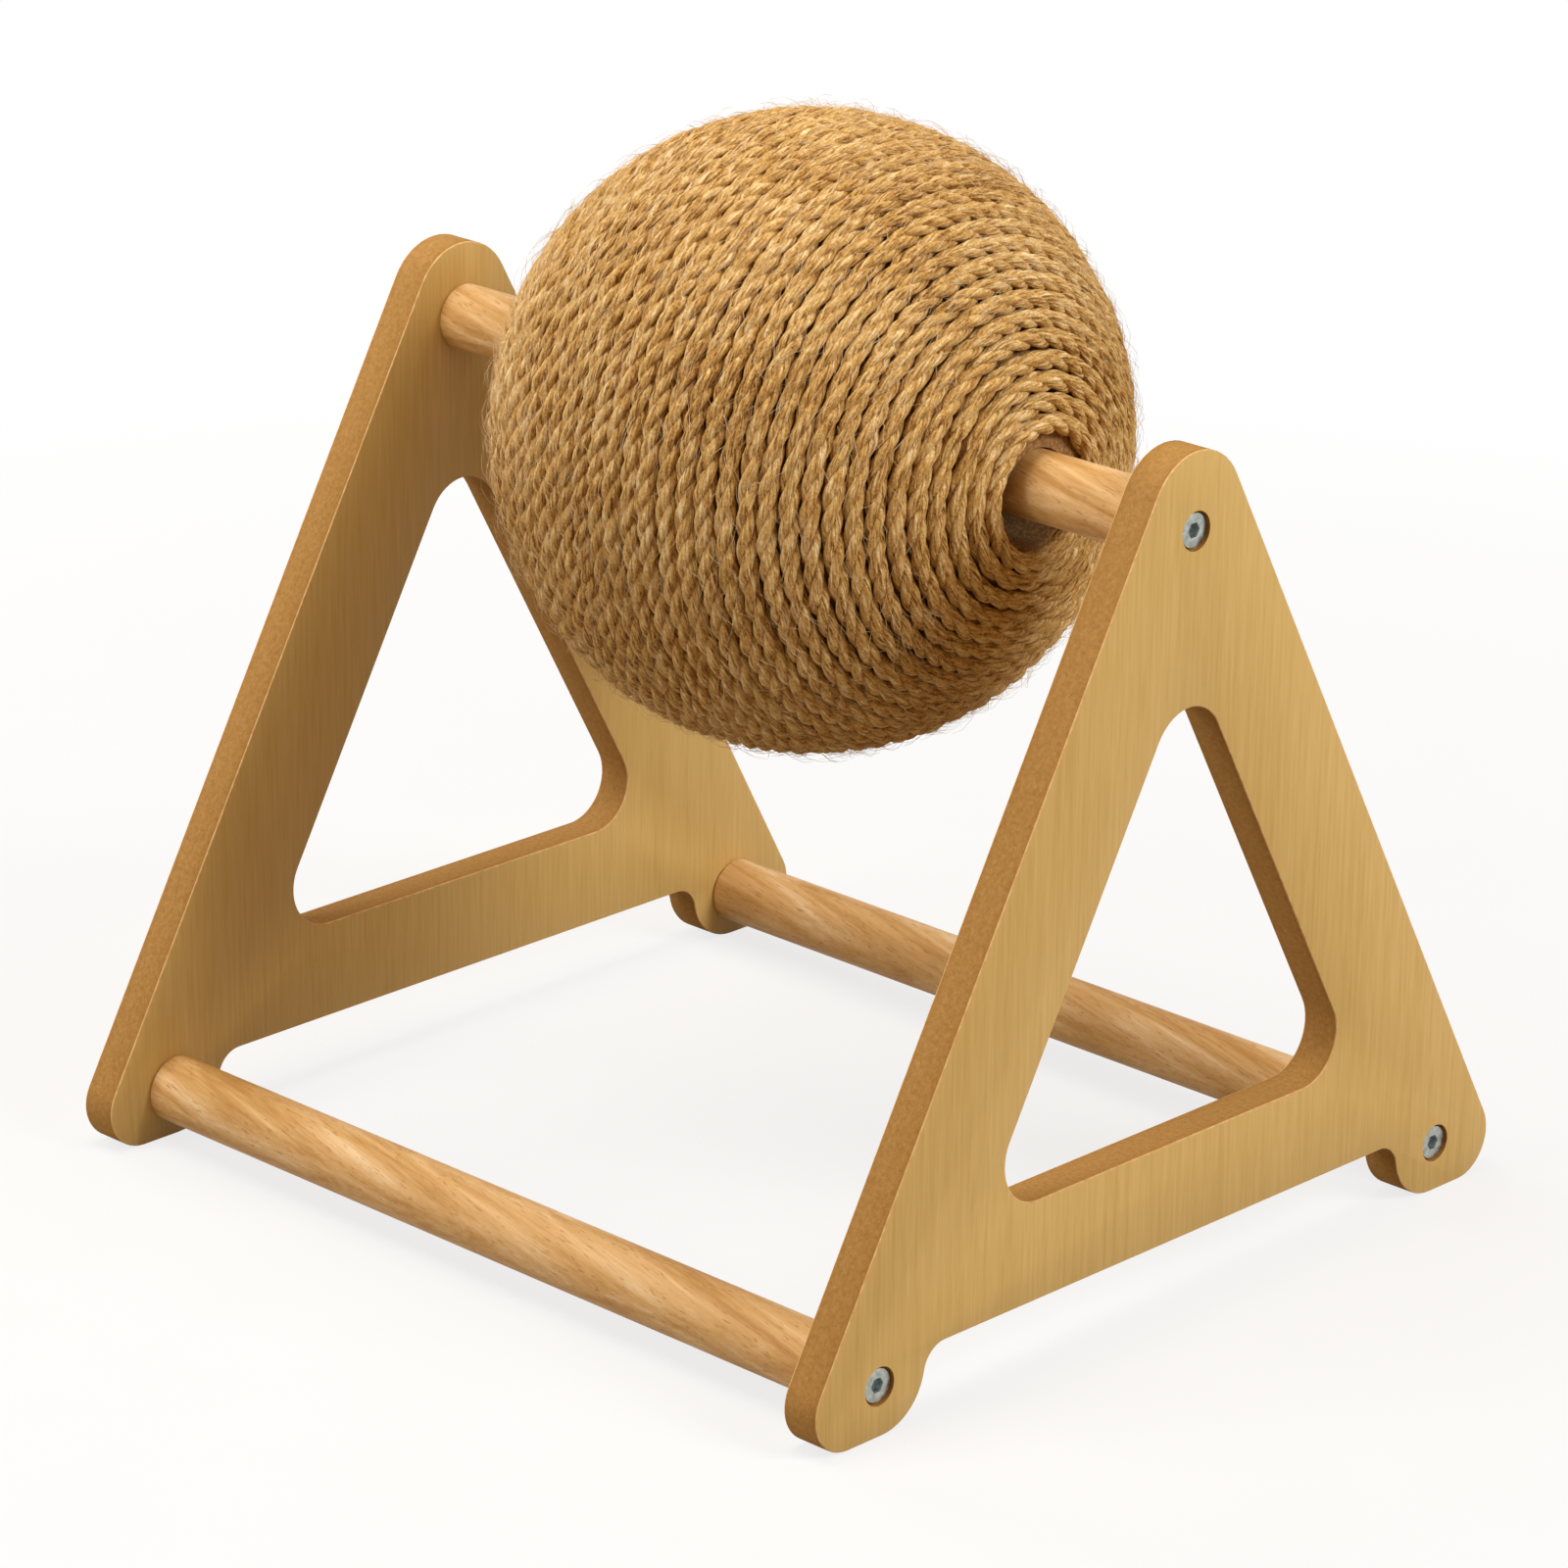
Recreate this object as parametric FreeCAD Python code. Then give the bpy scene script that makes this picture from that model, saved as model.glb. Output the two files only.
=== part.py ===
import FreeCAD, Part
import math
import os
from FreeCAD import Vector

# A cat scratching ball: a rope-wound ball that hangs loosely on a wooden axle between two A-shaped
# end panels. Two rails join the panels at their feet, and a screw through the panel holds each dowel end.
# Millimetres. X runs along the axle, Y along the foot of a panel, Z up. The origin is on the floor,
# midway between the panels.

# Stand
overall_length = 300.0
overall_depth = 286.0
board_thickness = 12.0
rail_inset = 24.5
rail_z = 15.0
axle_z = 229.5
apex_rise = 4.0
apex_radius = 18.6
heel_radius = 12.5
foot_flat = 13.5
instep_radius = 16.5
arch_radius = 8.0
lower_edge_z = 20.5

# Window of a panel
leg_width = 38.0
bottom_bar_height = 30.0
window_radius = 14.0

# Dowels
axle_diameter = 20.0
rail_diameter = 20.0
dowel_bevel = 0.8

# Screws
head_diameter = 10.0
head_rim = 0.8
head_recess = 0.8
head_clearance = 0.7
neck_diameter = 6.4
core_diameter = 4.6
screw_length = 50.0
screw_tip = 3.0
socket_across_flats = 4.0
socket_depth = 2.6
screw_fit = 0.05

# Ball
ball_diameter = 184.0
ball_shift = 6.5
bore_diameter = 28.0
hang_gap = 0.3
rope_pitch = 5.7
rope_gap = 0.5
rope_mouth = 0.3
glue_gap = 0.3
rope_join_angle = 325.0

# Every cut runs past the faces it opens by the overrun, the rope's gap is measured in the steps,
# and arcs whose ends are nearer than the last value meet without a straight edge between them
overrun = 2.0
measuring_step = 1.5
same_point = 0.001

# Places that follow from the sizes above
half_rails = overall_depth / 2 - rail_inset
outer_x = overall_length / 2
inner_x = outer_x - board_thickness

# The outer edge of a leg touches the round apex, whose middle lies above the axle, and the round heel
apex_z = axle_z + apex_rise
heel_y = overall_depth / 2 - heel_radius
leg_drop = apex_z - heel_radius
leg_taper = math.asin((apex_radius - heel_radius) / math.hypot(heel_y, leg_drop))
leg_angle = math.atan2(heel_y, leg_drop) - leg_taper

head_radius = head_diameter / 2
neck_radius = neck_diameter / 2
core_radius = core_diameter / 2
head_depth = head_rim + head_radius - neck_radius
neck_end = board_thickness - head_recess

bore_radius = bore_diameter / 2
ball_drop = bore_radius - axle_diameter / 2 - hang_gap
ball_centre = Vector(ball_shift, 0, axle_z - ball_drop)
rope_diameter = rope_pitch - rope_gap
rope_radius = rope_diameter / 2
rope_sphere = ball_diameter / 2 - rope_radius
foam_radius = ball_diameter / 2 - rope_diameter - glue_gap

origin = Vector(0, 0, 0)
axis_x = Vector(1, 0, 0)
axis_z = Vector(0, 0, 1)
dowel_axes = {
    "axle_dowel": (Vector(0, 0, axle_z), axle_diameter),
    "front_rail": (Vector(0, -half_rails, rail_z), rail_diameter),
    "rear_rail": (Vector(0, half_rails, rail_z), rail_diameter),
}


def arc_about(centre, radius, start_angle, end_angle):
    """Arc in a panel's plane, with its angles measured from +Y towards +Z."""
    points = []
    for angle in (start_angle, (start_angle + end_angle) / 2, end_angle):
        points.append(centre + Vector(0, radius * math.cos(angle), radius * math.sin(angle)))
    return Part.Arc(*points)


def closed_face(arcs):
    """Face inside a ring of arcs, with a straight edge wherever one arc doesn't run into the next."""
    edges = []
    for index, arc in enumerate(arcs):
        previous_end = arcs[index - 1].EndPoint
        if not previous_end.isEqual(arc.StartPoint, same_point):
            edges.append(Part.LineSegment(previous_end, arc.StartPoint).toShape())
        edges.append(arc.toShape())
    return Part.Face(Part.Wire(edges))


def turned(points):
    """Solid of revolution about X from points given as (distance along X, radius)."""
    corners = [Vector(along, 0, radius) for along, radius in points]
    face = Part.Face(Part.makePolygon(corners + corners[:1]))
    return face.revolve(origin, axis_x, 360)


def panel_outline():
    """Round apex, straight legs, a raised lower edge, and feet with a round heel, a flat and an instep."""
    apex = Vector(0, 0, apex_z)
    rear_heel = Vector(0, heel_y, heel_radius)
    front_heel = Vector(0, -heel_y, heel_radius)
    rear_instep = Vector(0, heel_y - foot_flat, instep_radius)
    front_instep = Vector(0, foot_flat - heel_y, instep_radius)

    # A hollow runs out of each instep and into the lower edge
    hollow_rise = lower_edge_z - arch_radius - instep_radius
    hollow_reach = math.sqrt((instep_radius + arch_radius) ** 2 - hollow_rise ** 2)
    meeting_angle = math.atan2(hollow_rise, hollow_reach)
    rear_hollow = rear_instep + Vector(0, -hollow_reach, hollow_rise)
    front_hollow = front_instep + Vector(0, hollow_reach, hollow_rise)

    half = math.pi
    quarter = math.pi / 2
    return closed_face([
        arc_about(rear_heel, heel_radius, -quarter, leg_angle),
        arc_about(apex, apex_radius, leg_angle, half - leg_angle),
        arc_about(front_heel, heel_radius, half - leg_angle, half + quarter),
        arc_about(front_instep, instep_radius, -quarter, meeting_angle),
        arc_about(front_hollow, arch_radius, half + meeting_angle, quarter),
        arc_about(rear_hollow, arch_radius, quarter, -meeting_angle),
        arc_about(rear_instep, instep_radius, half - meeting_angle, half + quarter),
    ])


def window_outline():
    """Rounded triangle that leaves the legs and the bottom bar at their widths."""
    inset = leg_width - apex_radius + window_radius
    top_z = apex_z - inset / math.sin(leg_angle)
    low_z = lower_edge_z + bottom_bar_height + window_radius
    low_y = (top_z - low_z) * math.tan(leg_angle)
    top = Vector(0, 0, top_z)
    rear = Vector(0, low_y, low_z)
    front = Vector(0, -low_y, low_z)
    return closed_face([
        arc_about(rear, window_radius, -math.pi / 2, leg_angle),
        arc_about(top, window_radius, leg_angle, math.pi - leg_angle),
        arc_about(front, window_radius, math.pi - leg_angle, math.pi * 3 / 2),
    ])


def make_right_panel():
    """Board with a window and three countersunk screw holes, outer face towards +X."""
    board = panel_outline().extrude(axis_x * board_thickness)
    window = window_outline().extrude(axis_x * (board_thickness + 2 * overrun))
    window.translate(axis_x * -overrun)
    board = board.cut(window)
    board.translate(axis_x * inner_x)

    seat = -head_recess - head_rim
    hole_end = -board_thickness - overrun
    hole = turned([
        (overrun, 0),
        (overrun, head_radius + head_clearance),
        (seat, head_radius + head_clearance),
        (seat, head_radius + screw_fit),
        (-head_recess - head_depth, neck_radius + screw_fit),
        (hole_end, neck_radius + screw_fit),
        (hole_end, 0),
    ])
    for place, _ in dowel_axes.values():
        board = board.cut(hole.translated(place + axis_x * outer_x))
    return board


def make_dowel(name):
    """Round bar between the panels, with bevelled ends drilled for the screws."""
    place, diameter = dowel_axes[name]
    radius = diameter / 2
    bar = turned([
        (-inner_x, 0),
        (-inner_x, radius - dowel_bevel),
        (-inner_x + dowel_bevel, radius),
        (inner_x - dowel_bevel, radius),
        (inner_x, radius - dowel_bevel),
        (inner_x, 0),
    ])
    pilot_depth = screw_length - neck_end + screw_tip
    pilot = Part.makeCylinder(core_radius + screw_fit, pilot_depth + overrun, origin, axis_x)
    bar = bar.cut(pilot.translated(axis_x * (inner_x - pilot_depth)))
    bar = bar.cut(pilot.translated(axis_x * (-inner_x - overrun)))
    return bar.translated(place)


def make_screw():
    """Countersunk wood screw with a hexagon socket, its head's face at the origin, pointing along -X."""
    body = turned([
        (0, 0),
        (0, head_radius),
        (-head_rim, head_radius),
        (-head_depth, neck_radius),
        (-neck_end, neck_radius),
        (-neck_end, core_radius),
        (screw_tip - screw_length, core_radius),
        (-screw_length, 0),
    ])
    socket_radius = socket_across_flats / 2 / math.cos(math.pi / 6)
    corners = []
    for step in range(7):
        angle = step * math.pi / 3
        corners.append(Vector(overrun, socket_radius * math.cos(angle), socket_radius * math.sin(angle)))
    socket = Part.Face(Part.makePolygon(corners)).extrude(axis_x * -(overrun + socket_depth))
    return body.cut(socket)


def make_screws():
    """One screw at each end of each dowel."""
    right = make_screw()
    right.translate(axis_x * (outer_x - head_recess))
    left = right.copy()
    left.rotate(origin, axis_z, 180)
    solids = []
    for place, _ in dowel_axes.values():
        solids.append(right.translated(place))
        solids.append(left.translated(place))
    return Part.makeCompound(solids)


def make_foam_core():
    """Foam ball with a bore that is wider than the axle, so the ball hangs on the axle's upper side."""
    half_bore = math.sqrt(foam_radius ** 2 - bore_radius ** 2)
    left = Vector(-half_bore, 0, bore_radius)
    right = Vector(half_bore, 0, bore_radius)
    skin = Part.Arc(left, Vector(0, 0, foam_radius), right).toShape()
    bore = Part.LineSegment(right, left).toShape()
    core = Part.Face(Part.Wire([skin, bore])).revolve(origin, axis_x, 360)
    return core.translated(ball_centre)


def tangent_arc(start, corner, end):
    """Arc from start to end whose end tangents meet at the corner."""
    first = corner - start
    second = end - corner
    cosine = first.dot(second) / (first.Length * second.Length)
    weight = math.sqrt((1 + cosine) / 2)
    middle = (start + corner * (2 * weight) + end) / (2 + 2 * weight)
    return Part.Arc(start, middle, end).toShape()


def biarc(start, start_way, end, end_way):
    """Two arcs that leave the start along one direction and reach the end along another."""
    chord = end - start
    bend = 1 - start_way.dot(end_way)
    lean = chord.dot(start_way + end_way)
    reach = (math.sqrt(lean ** 2 + 2 * bend * chord.dot(chord)) - lean) / (2 * bend)
    first = start + start_way * reach
    second = end - end_way * reach
    middle = (first + second) / 2
    return [tangent_arc(start, first, middle), tangent_arc(middle, second, end)]


def make_winding_path():
    """Rope's centre line from the left mouth of the bore to the middle of the ball, and its loop count."""
    first_radius = bore_radius + rope_mouth + rope_radius
    first_angle = math.asin(first_radius / rope_sphere)
    # The straight end stands off the first loop, so that loop is set further out
    end_turn = math.atan2(rope_diameter, first_radius) / (2 * math.pi)
    end_room = math.hypot(first_radius, rope_diameter) - first_radius + rope_pitch * end_turn
    arc_length = rope_sphere * (math.pi / 2 - first_angle) - end_room
    loops = math.floor(arc_length / rope_pitch)
    pitch = arc_length / loops
    join_angle = math.radians(rope_join_angle)

    def place(turn):
        polar = first_angle + (pitch * turn + end_room * min(turn, 1)) / rope_sphere
        swing = join_angle + 2 * math.pi * (turn - loops)
        ring = rope_sphere * math.sin(polar)
        return Vector(-rope_sphere * math.cos(polar), ring * math.cos(swing), ring * math.sin(swing))

    def direction(turn):
        small_share = 0.001
        way = place(turn + small_share) - place(turn - small_share)
        return way.normalize()

    # Half turns, and quarters of the last one
    turns = [step / 2 for step in range(2 * loops)]
    turns.append(loops - 1 / 4)
    points = [place(turn) for turn in turns]
    ways = [direction(turn) for turn in turns]
    join = place(loops)
    join_way = direction(loops)
    points.append(join - join_way * rope_diameter)
    ways.append(join_way)

    edges = [Part.LineSegment(points[0] - ways[0] * rope_diameter, points[0]).toShape()]
    for index in range(len(points) - 1):
        edges += biarc(points[index], ways[index], points[index + 1], ways[index + 1])
    edges.append(Part.LineSegment(points[-1], join).toShape())
    return edges, loops, join


def least_gap(path, nearest_along):
    """Least clear space between two stretches of the rope that are not next to each other along it."""
    points = path.discretize(Distance=measuring_step)
    skip = math.ceil(nearest_along / measuring_step)
    reach = math.ceil(3 * math.pi * rope_sphere / measuring_step)
    nearest = math.inf
    for index, point in enumerate(points):
        for other in points[index + skip:index + reach]:
            nearest = min(nearest, point.distanceToPoint(other))
    return nearest - rope_diameter


def make_windings():
    """Two lengths of rope, wound from the mouths of the bore until they butt at the ball's middle."""
    edges, loops, join = make_winding_path()
    path = Part.Wire(edges)
    start = edges[0].valueAt(edges[0].FirstParameter)
    way = edges[0].tangentAt(edges[0].FirstParameter)
    section = Part.Wire([Part.Circle(start, way, rope_radius).toShape()])
    tube = Part.BRepOffsetAPI.MakePipeShell(path)
    tube.add(section)
    tube.build()
    tube.makeSolid()
    left = Part.Solid(tube.shape())
    gap = least_gap(path, math.pi * (bore_radius + rope_mouth + rope_radius))
    print("rope winding:", loops, "loops,", round(path.Length), "mm long")
    print("least gap from turn to turn:", round(gap, 3), "mm")
    plain_volume = math.pi * rope_radius ** 2 * path.Length
    print("volume over section times length:", round(left.Volume / plain_volume, 4))
    right = left.copy()
    right.rotate(origin, join, 180)
    return left.translated(ball_centre), right.translated(ball_centre)


def main():
    right_panel = make_right_panel()
    left_panel = right_panel.copy()
    left_panel.rotate(origin, axis_z, 180)
    left_winding, right_winding = make_windings()
    shapes = {
        "left_end_panel": left_panel,
        "right_end_panel": right_panel,
        "panel_screws": make_screws(),
        "foam_core": make_foam_core(),
        "left_rope_winding": left_winding,
        "right_rope_winding": right_winding,
    }
    for name in dowel_axes:
        shapes[name] = make_dowel(name)

    os.makedirs("parts", exist_ok=True)
    for name, shape in shapes.items():
        shape.exportStep("parts/" + name + ".step")
        print(name, len(shape.Solids), "solids, valid:", shape.isValid(), round(shape.Volume), "mm3")


main()
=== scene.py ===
# %% [markdown]
# A cat scratching ball: a ball wound with jute rope turns on a wooden axle between two A-shaped
# end panels, and two rails join the panels at their feet. The imported model is the frame of this
# lesson, and it comes in first.

# %% Load the imported model
import math

import bmesh
import bpy
import numpy as np
from mathutils import Matrix, Vector


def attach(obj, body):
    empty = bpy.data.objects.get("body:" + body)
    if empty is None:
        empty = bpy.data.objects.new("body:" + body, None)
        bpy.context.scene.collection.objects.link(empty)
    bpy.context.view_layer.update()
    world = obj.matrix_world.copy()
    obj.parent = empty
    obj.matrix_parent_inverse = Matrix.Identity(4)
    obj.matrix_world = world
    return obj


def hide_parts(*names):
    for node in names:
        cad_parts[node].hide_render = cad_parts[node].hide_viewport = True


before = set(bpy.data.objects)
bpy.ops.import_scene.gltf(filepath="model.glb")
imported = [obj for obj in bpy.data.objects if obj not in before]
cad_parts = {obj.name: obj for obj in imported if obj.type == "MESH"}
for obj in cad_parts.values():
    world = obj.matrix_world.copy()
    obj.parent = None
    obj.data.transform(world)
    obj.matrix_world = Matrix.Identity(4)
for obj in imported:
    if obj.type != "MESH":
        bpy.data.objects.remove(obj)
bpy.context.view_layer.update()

# %% [markdown]
# The camera stands where the photographer stood. It could be set by eye, but then every comparison
# would be a guess. Its place, its angles and its focal length come from the edges of the panels,
# the rails and the ball, so the view needs no shift of the lens. The focal length is known in
# pixels of a square picture, and Blender asks for it in millimetres of sensor.

# %% Camera
MM = 0.001
PICTURE_PIXELS = 1600
FOCAL_PIXELS = 6604.1
CAMERA_PLACE = Vector((1.22056, -1.27282, 0.76305))
AZIMUTH, ELEVATION, ROLL = (math.radians(angle) for angle in (43.86, 20.111, 0.815))


def add_object(name, data):
    """New object at the origin that shows the data, linked to the scene."""
    item = bpy.data.objects.new(name, data)
    bpy.context.scene.collection.objects.link(item)
    return item


camera_data = bpy.data.cameras.new("photo_camera")
camera_data.lens = FOCAL_PIXELS / PICTURE_PIXELS * camera_data.sensor_width
camera = add_object("photo_camera", camera_data)
aim = (
    Matrix.Rotation(AZIMUTH, 4, "Z")
    @ Matrix.Rotation(math.pi / 2 - ELEVATION, 4, "X")
    @ Matrix.Rotation(ROLL, 4, "Z")
)
camera.matrix_world = Matrix.Translation(CAMERA_PLACE) @ aim
bpy.context.scene.camera = camera
print("focal length:", round(camera_data.lens, 1), "mm")

# %% [markdown]
# Every finish is a small tree of nodes. The nodes could be added one line at a time, but the trees
# would be long to read, so a few helpers keep them short. One turns a colour as a painter writes
# it, a hex value, into the linear numbers that a shader reckons with. One adds a node with its
# settings, and fills or links its inputs. The others start a finish, set the colours of a ramp, and
# turn real sizes into the scale of a pattern. Sockets that share a name are called by number: on a
# Mix node, input 0 is the share, 2 and 3 are the numbers that are mixed, 6 and 7 are the colours,
# and output 2 is the mixed colour.

# %% Helpers for the finishes
def linear(hex_colour):
    """Linear red, green, blue and alpha of an sRGB hex colour."""
    shares = [int(hex_colour[place:place + 2], 16) / 255 for place in (1, 3, 5)]
    return [
        share / 12.92 if share <= 0.04045 else ((share + 0.055) / 1.055) ** 2.4
        for share in shares
    ] + [1.0]


def set_inputs(tree, node, inputs):
    """Give each of these inputs of a node its value, or a link from another node's output."""
    for socket, value in inputs.items():
        if isinstance(value, bpy.types.NodeSocket):
            tree.links.new(value, node.inputs[socket])
        else:
            node.inputs[socket].default_value = value


def add_node(tree, kind, inputs=None, **settings):
    """New node with its settings, and with its inputs filled or linked."""
    node = tree.nodes.new(kind)
    for name, value in settings.items():
        setattr(node, name, value)
    set_inputs(tree, node, inputs or {})
    return node


def new_finish(name):
    """Empty material, its node tree and its Principled shader, joined to the output."""
    finish = bpy.data.materials.new(name)
    finish.use_nodes = True
    tree = finish.node_tree
    tree.nodes.clear()
    shader = add_node(tree, "ShaderNodeBsdfPrincipled")
    add_node(tree, "ShaderNodeOutputMaterial", {"Surface": shader.outputs["BSDF"]})
    return finish, tree, shader


def set_stops(ramp, stops):
    """Colour stops of a ramp, given as (position, hex colour)."""
    elements = ramp.color_ramp.elements
    while len(elements) < len(stops):
        elements.new(1.0)
    for element, (position, hex_colour) in zip(elements, stops):
        element.position = position
        element.color = linear(hex_colour)


def per_size(*sizes_mm):
    """Mapping scale that makes one unit of a pattern as large as these sizes along X, Y and Z."""
    return [1 / (size * MM) for size in sizes_mm]


print("helpers ready")

# %% [markdown]
# The end panels are cut from fibreboard that has a printed wood foil on both faces. The foil is
# satin, and the eye sees faint upright streaks about a millimetre wide. A picture of wood would
# repeat and blur close up, so the print is noise that is stretched along Z, once fine and once
# broad. A print is only colour, so it has hardly any relief.

# %% Finish: printed foil on the faces
panel_foil, tree, shader = new_finish("printed_wood_foil")
place = add_node(tree, "ShaderNodeTexCoord").outputs["Object"]
fine_place = add_node(
    tree, "ShaderNodeMapping", {"Vector": place, "Scale": per_size(20, 1.2, 26)})
broad_place = add_node(
    tree, "ShaderNodeMapping", {"Vector": place, "Scale": per_size(40, 9, 260)})
fine = add_node(
    tree, "ShaderNodeTexNoise",
    {"Vector": fine_place.outputs[0], "Scale": 1.0, "Detail": 4.0, "Roughness": 0.6})
broad = add_node(
    tree, "ShaderNodeTexNoise",
    {"Vector": broad_place.outputs[0], "Scale": 1.0, "Detail": 2.0, "Roughness": 0.5})
streaks = add_node(
    tree, "ShaderNodeMix", {0: 0.22, 2: fine.outputs["Fac"], 3: broad.outputs["Fac"]})
foil_print = add_node(tree, "ShaderNodeValToRGB", {"Fac": streaks.outputs[0]})
set_stops(foil_print, [(0.28, "#c6a25b"), (0.5, "#d1af69"), (0.72, "#d9b876")])
relief = add_node(
    tree, "ShaderNodeBump",
    {"Height": fine.outputs["Fac"], "Strength": 0.06, "Distance": 0.1 * MM})
set_inputs(tree, shader, {
    "Base Color": foil_print.outputs["Color"], "Normal": relief.outputs["Normal"],
    "Roughness": 0.5, "IOR": 1.5, "Specular IOR Level": 0.3})
print("finish:", panel_foil.name)

# %% [markdown]
# The cut edge of the board is bare fibreboard: pressed brown fibre, sawn and sanded, with no gloss.
# The eye sees a fine mottle, paler flecks where a bundle of fibre was cut across, and a slightly
# darker band under each face, where the board is pressed hardest. One colour would do from afar,
# but the band tells a sawn board from a painted one, so it is measured from the board's middle.

# %% Finish: bare edge of the board
BOARD_MIDDLE = 144.0 * MM
BOARD_HALF = 6.0 * MM
PRESSED_FROM = 0.55 * BOARD_HALF
board_edge, tree, shader = new_finish("bare_fibreboard")
place = add_node(tree, "ShaderNodeTexCoord").outputs["Object"]
mottle = add_node(
    tree, "ShaderNodeTexNoise",
    {"Vector": place, "Scale": 1 / (1.4 * MM), "Detail": 6.0, "Roughness": 0.7})
flecks = add_node(
    tree, "ShaderNodeTexNoise", {"Vector": place, "Scale": 1 / (0.7 * MM), "Detail": 1.0})
fleck_share = add_node(
    tree, "ShaderNodeMapRange",
    {"Value": flecks.outputs["Fac"], "From Min": 0.68, "From Max": 0.82, "To Max": 0.3})
axes = add_node(tree, "ShaderNodeSeparateXYZ", {"Vector": place})
off_origin = add_node(tree, "ShaderNodeMath", {0: axes.outputs["X"]}, operation="ABSOLUTE")
off_middle = add_node(
    tree, "ShaderNodeMath", {0: off_origin.outputs[0], 1: BOARD_MIDDLE}, operation="SUBTRACT")
depth = add_node(tree, "ShaderNodeMath", {0: off_middle.outputs[0]}, operation="ABSOLUTE")
pressed = add_node(
    tree, "ShaderNodeMapRange",
    {"Value": depth.outputs[0], "From Min": PRESSED_FROM, "From Max": BOARD_HALF,
     "To Max": 0.35})
fibre = add_node(tree, "ShaderNodeValToRGB", {"Fac": mottle.outputs["Fac"]})
set_stops(fibre, [(0.3, "#9c7239"), (0.5, "#ab8147"), (0.72, "#b78f55")])
darker = add_node(
    tree, "ShaderNodeMix",
    {0: pressed.outputs[0], 6: fibre.outputs["Color"], 7: linear("#96672a")},
    data_type="RGBA")
flecked = add_node(
    tree, "ShaderNodeMix",
    {0: fleck_share.outputs[0], 6: darker.outputs[2], 7: linear("#d3ab70")},
    data_type="RGBA")
relief = add_node(
    tree, "ShaderNodeBump",
    {"Height": mottle.outputs["Fac"], "Strength": 0.35, "Distance": 0.25 * MM})
set_inputs(tree, shader, {
    "Base Color": flecked.outputs[2], "Normal": relief.outputs["Normal"],
    "Roughness": 0.85, "IOR": 1.45, "Specular IOR Level": 0.1})
print("finish:", board_edge.name)

# %% [markdown]
# The eye sees a thin light line all round each face, where the broken arris catches the light.
# This line is a painted highlight: the arris faces take a paler colour than the print. It could be
# painted with a mask, but the bevel that follows has faces of its own, and these can simply take a
# finish of their own. The line is under a millimetre wide, so a fine mottle is enough.

# %% Finish: painted highlight along the arrises
arris_highlight, tree, shader = new_finish("painted_arris_highlight")
place = add_node(tree, "ShaderNodeTexCoord").outputs["Object"]
arris_mottle = add_node(
    tree, "ShaderNodeTexNoise", {"Vector": place, "Scale": 1 / (2.5 * MM), "Detail": 3.0})
highlight_ramp = add_node(tree, "ShaderNodeValToRGB", {"Fac": arris_mottle.outputs["Fac"]})
# Paler than the print: a painted highlight, the line of light along the arris.
set_stops(highlight_ramp, [(0.35, "#cfa565"), (0.65, "#e2bf86")])
set_inputs(tree, shader, {
    "Base Color": highlight_ramp.outputs["Color"], "Roughness": 0.7, "Specular IOR Level": 0.2})
print("finish:", arris_highlight.name)

# %% [markdown]
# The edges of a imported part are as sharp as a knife, and no real edge is: sandpaper breaks it, or
# plating rounds it, and then it catches a thin line of light. A bevel modifier would round all the
# edges alike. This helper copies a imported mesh, merges it, joins its flat triangles into whole
# faces, and bevels only the sharp edges that a piece asks for.

# %% Helper for softened copies
MERGE_REACH = 0.002 * MM
FLAT_ANGLE, SMOOTH_ANGLE, SHARP_ANGLE = (math.radians(angle) for angle in (0.5, 35, 50))


def shaded_mesh(name, shape):
    """Mesh of a finished shape, smooth but for its creases. The shape is then freed."""
    for face in shape.faces:
        face.smooth = True
    for edge in shape.edges:
        edge.smooth = edge.is_manifold and edge.calc_face_angle() < SMOOTH_ANGLE
    mesh = bpy.data.meshes.new(name)
    shape.to_mesh(mesh)
    shape.free()
    return mesh


def softened_copy(name, node, width, wanted):
    """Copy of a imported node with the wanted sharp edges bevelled, as an object at the origin."""
    shape = bmesh.new()
    shape.from_mesh(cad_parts[node].data)
    bmesh.ops.remove_doubles(shape, verts=shape.verts, dist=MERGE_REACH)
    bmesh.ops.dissolve_limit(
        shape, angle_limit=FLAT_ANGLE, verts=shape.verts, edges=shape.edges)
    sharp = [
        edge for edge in shape.edges
        if edge.is_manifold and edge.calc_face_angle() > SHARP_ANGLE and wanted(edge)
    ]
    bmesh.ops.bevel(
        shape, geom=sharp, offset=width, offset_type="OFFSET", affect="EDGES",
        segments=2, profile=0.5, material=-1, clamp_overlap=True)
    mesh = shaded_mesh(name, shape)
    if "custom_normal" in mesh.attributes:
        mesh.attributes.remove(mesh.attributes["custom_normal"])
    return add_object(name, mesh)


print("softened copies ready")

# %% [markdown]
# Each end panel is a flat board with sawn edges. It could be drawn again from its outline, but the
# imported shape is right, so a softened copy is enough. Only the arrises round its faces are broken.
# The screw holes stay as they are, because a screw head fills them. Foil lies on the faces, bare
# fibreboard shows on the cut edge, and a paler colour on the arrises between them is a painted
# highlight.

# %% End panels
SCREW_PLACES = [(0.0, 229.5 * MM), (-118.5 * MM, 15.0 * MM), (118.5 * MM, 15.0 * MM)]
SCREW_HOLE_REACH = 8 * MM
ARRIS = 0.45 * MM
ARRIS_FROM = 0.8 * BOARD_HALF
FACE_REACH = 0.02 * MM
# Share of X in a normal: next to none on the cut edge, more on an arris, nearly all on a face.
ON_THE_EDGE, OFF_THE_EDGE, ON_A_FACE = 0.01, 0.05, 0.99
FACE_SLOT, EDGE_SLOT, ARRIS_SLOT = 0, 1, 2


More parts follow.
